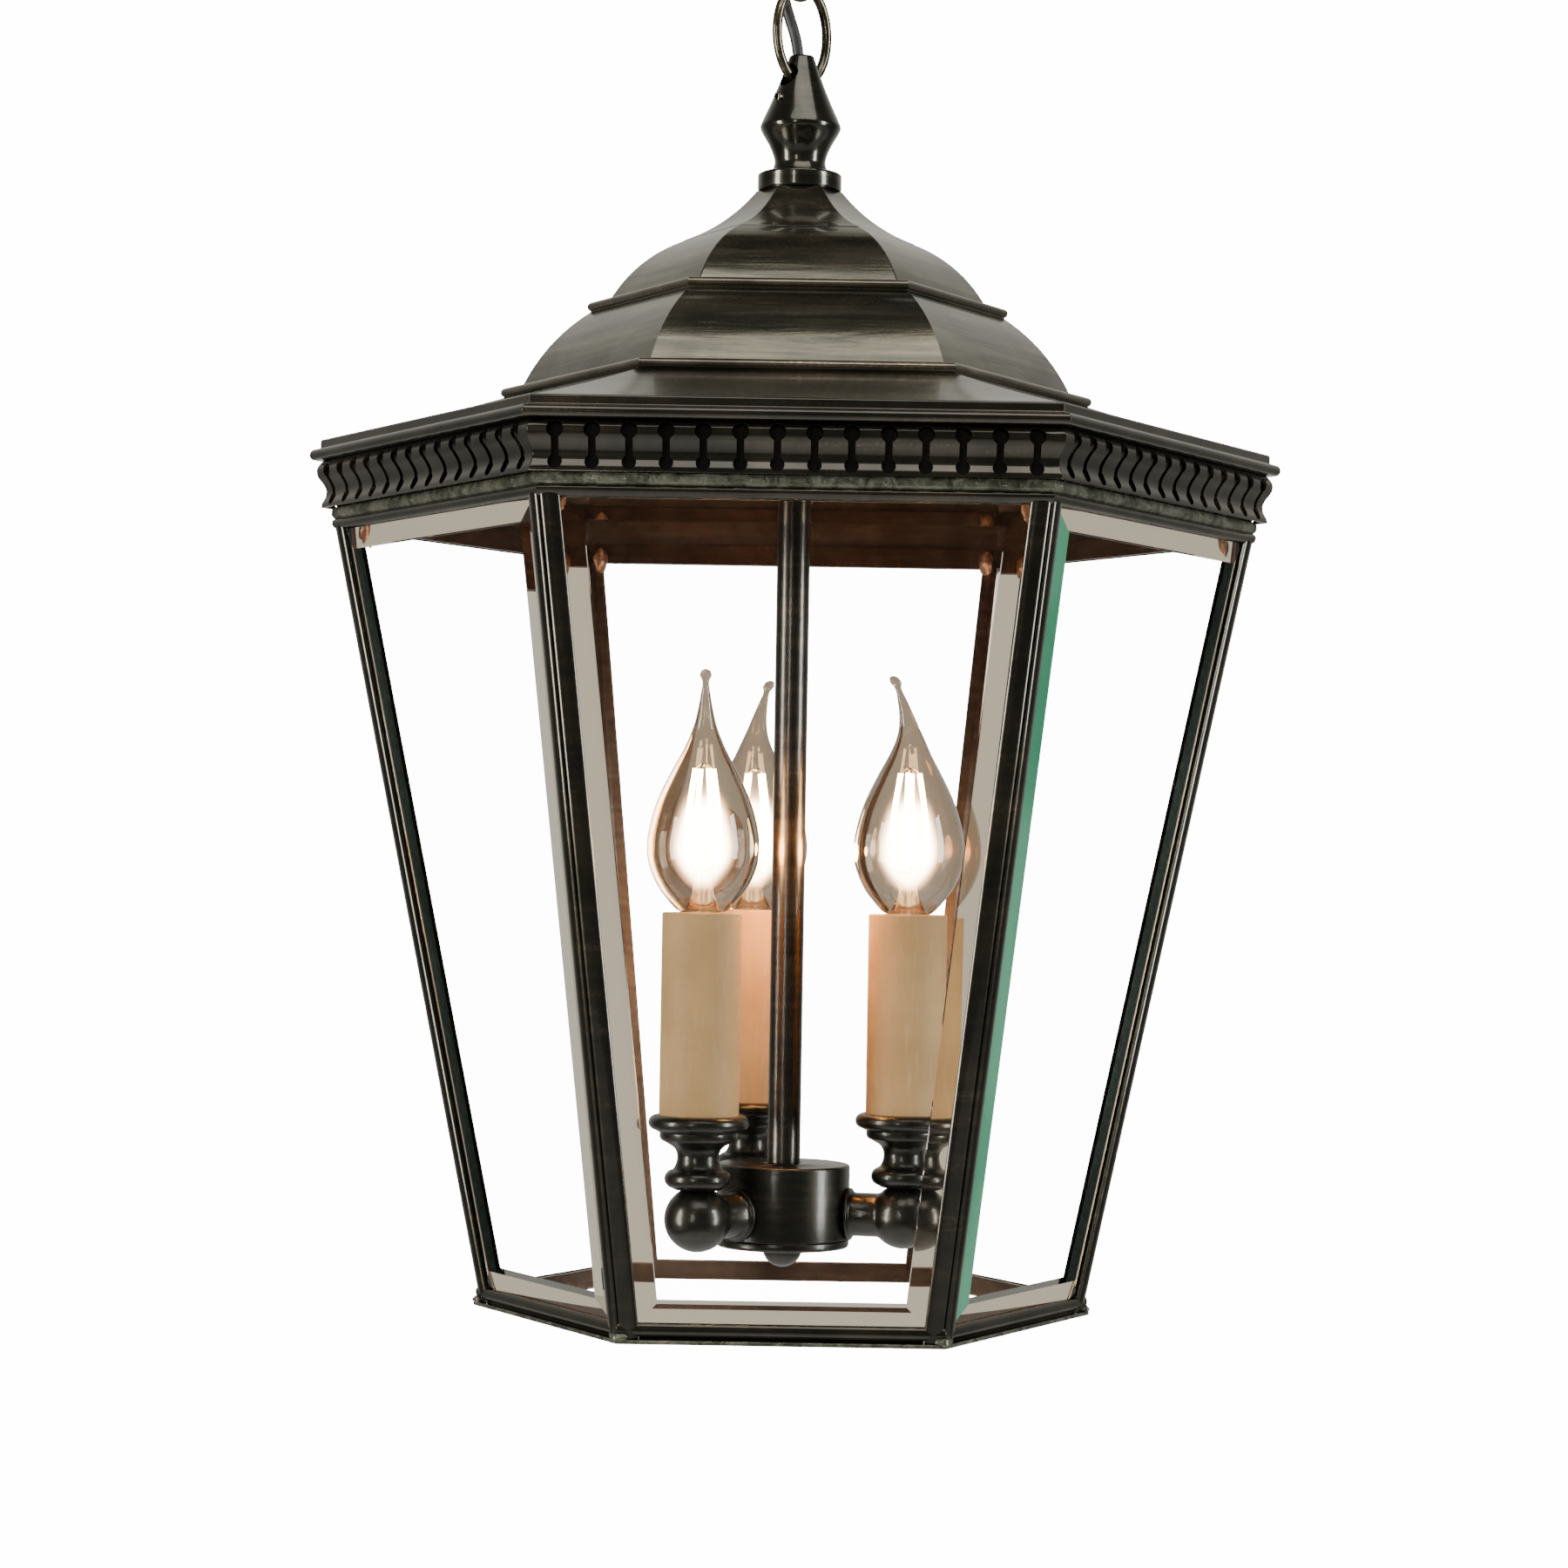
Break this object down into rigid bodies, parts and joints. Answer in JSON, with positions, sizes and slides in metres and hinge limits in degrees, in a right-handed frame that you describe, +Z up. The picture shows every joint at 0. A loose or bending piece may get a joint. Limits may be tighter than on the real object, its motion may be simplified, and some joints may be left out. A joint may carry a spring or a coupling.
{
  "type": "hanging lantern",
  "caption": "Hexagonal glazed hanging lantern with a tapering open-bottomed cage, tiered metal roof and candle-lamp cluster, hung on chain from a ceiling rose.",
  "frame": {"origin": "centre of the ceiling plate's upper face, on the rod's axis", "axes": "+Z up into the ceiling, -Y out through the front pane, +X to the right of it"},
  "size_m": [0.302, 0.2616, 0.4894],
  "materials": {
    "dark_bronze": "satin dark bronze patina, rubbed on the edges",
    "roof_bronze": "polished dark bronze sheet with a streaky patina",
    "brown_bronze": "satin brown-black bronze",
    "chain_bronze": "olive bronze wire, rubbed bright",
    "solder_band": "dull grey-green soldered band",
    "steel_fittings": "zinc-plated steel",
    "pane_glass": "clear bevelled glass",
    "bulb_glass": "clear thin glass, lamp lit",
    "candle_card": "matt tan candle sleeve",
    "bulb_cap_brass": "plain brass lamp cap",
    "flex_sheath": "satin black cable sheath",
    "black_rubber": "matt black rubber",
    "white_ceramic": "off-white glazed ceramic"
  },
  "bodies": {
    "ceiling_fitting": {"ceiling_plate": "steel_fittings", "ceiling_rose": "dark_bronze", "chain_hook": "dark_bronze", "hook_nut": "dark_bronze", "cord_grommet": "black_rubber", "terminal_block": "white_ceramic", "flex_upper": "flex_sheath"},
    "upper_link": {"link_upper": "chain_bronze"},
    "lantern": {"flex_lower": "flex_sheath", "inner_flex": "flex_sheath", "link_lower": "chain_bronze", "finial": "dark_bronze", "grub_screw": "dark_bronze", "roof_washer": "steel_fittings", "roof_locknut": "steel_fittings", "rod": "brown_bronze", "tie_stud": "steel_fittings", "roof_crown": "roof_bronze", "roof_shoulder": "roof_bronze", "roof_skirt": "roof_bronze", "eave_cornice": "dark_bronze", "gallery": "dark_bronze", "gallery_lining": "dark_bronze", "top_rail": "solder_band", "bottom_rail": "dark_bronze", "hub_body": "brown_bronze", "hub_cover": "brown_bronze", "post_1": "dark_bronze", "pane_1": "pane_glass", "post_2": "dark_bronze", "pane_2": "pane_glass", "post_3": "dark_bronze", "pane_3": "pane_glass", "post_4": "dark_bronze", "pane_4": "pane_glass", "post_5": "dark_bronze", "pane_5": "pane_glass", "post_6": "dark_bronze", "pane_6": "pane_glass", "arm_1": "brown_bronze", "cup_1": "brown_bronze", "lampholder_1": "white_ceramic", "candle_tube_1": "candle_card", "arm_2": "brown_bronze", "cup_2": "brown_bronze", "lampholder_2": "white_ceramic", "candle_tube_2": "candle_card", "arm_3": "brown_bronze", "cup_3": "brown_bronze", "lampholder_3": "white_ceramic", "candle_tube_3": "candle_card"},
    "lamp_1": {"bulb_1": "bulb_glass", "bulb_cap_1": "bulb_cap_brass"},
    "lamp_2": {"bulb_2": "bulb_glass", "bulb_cap_2": "bulb_cap_brass"},
    "lamp_3": {"bulb_3": "bulb_glass", "bulb_cap_3": "bulb_cap_brass"},
    "ball_nut": {"ball_nut": "brown_bronze"}
  },
  "joints": [
    {"name": "chain_swing", "type": "hinge", "parent": "ceiling_fitting", "child": "upper_link", "pos_m": [0, 0, -0.0544], "axis": [0.7431, 0.6691, 0], "range_deg": [-15, 15]},
    {"name": "lantern_swing", "type": "hinge", "parent": "upper_link", "child": "lantern", "pos_m": [0, 0, -0.0811], "axis": [-0.6691, 0.7431, 0], "range_deg": [-15, 15]},
    {"name": "lamp_1_screw", "type": "hinge", "parent": "lantern", "child": "lamp_1", "pos_m": [0.03703, -0.00855, -0.3744], "axis": [0, 0, 1], "continuous": true},
    {"name": "lamp_2_screw", "type": "hinge", "parent": "lantern", "child": "lamp_2", "pos_m": [-0.01111, 0.03634, -0.3744], "axis": [0, 0, 1], "continuous": true},
    {"name": "lamp_3_screw", "type": "hinge", "parent": "lantern", "child": "lamp_3", "pos_m": [-0.02592, -0.02779, -0.3744], "axis": [0, 0, 1], "continuous": true},
    {"name": "ball_nut_turn", "type": "hinge", "parent": "lantern", "child": "ball_nut", "pos_m": [0, 0, -0.4744], "axis": [0, 0, 1], "continuous": true}
  ]
}
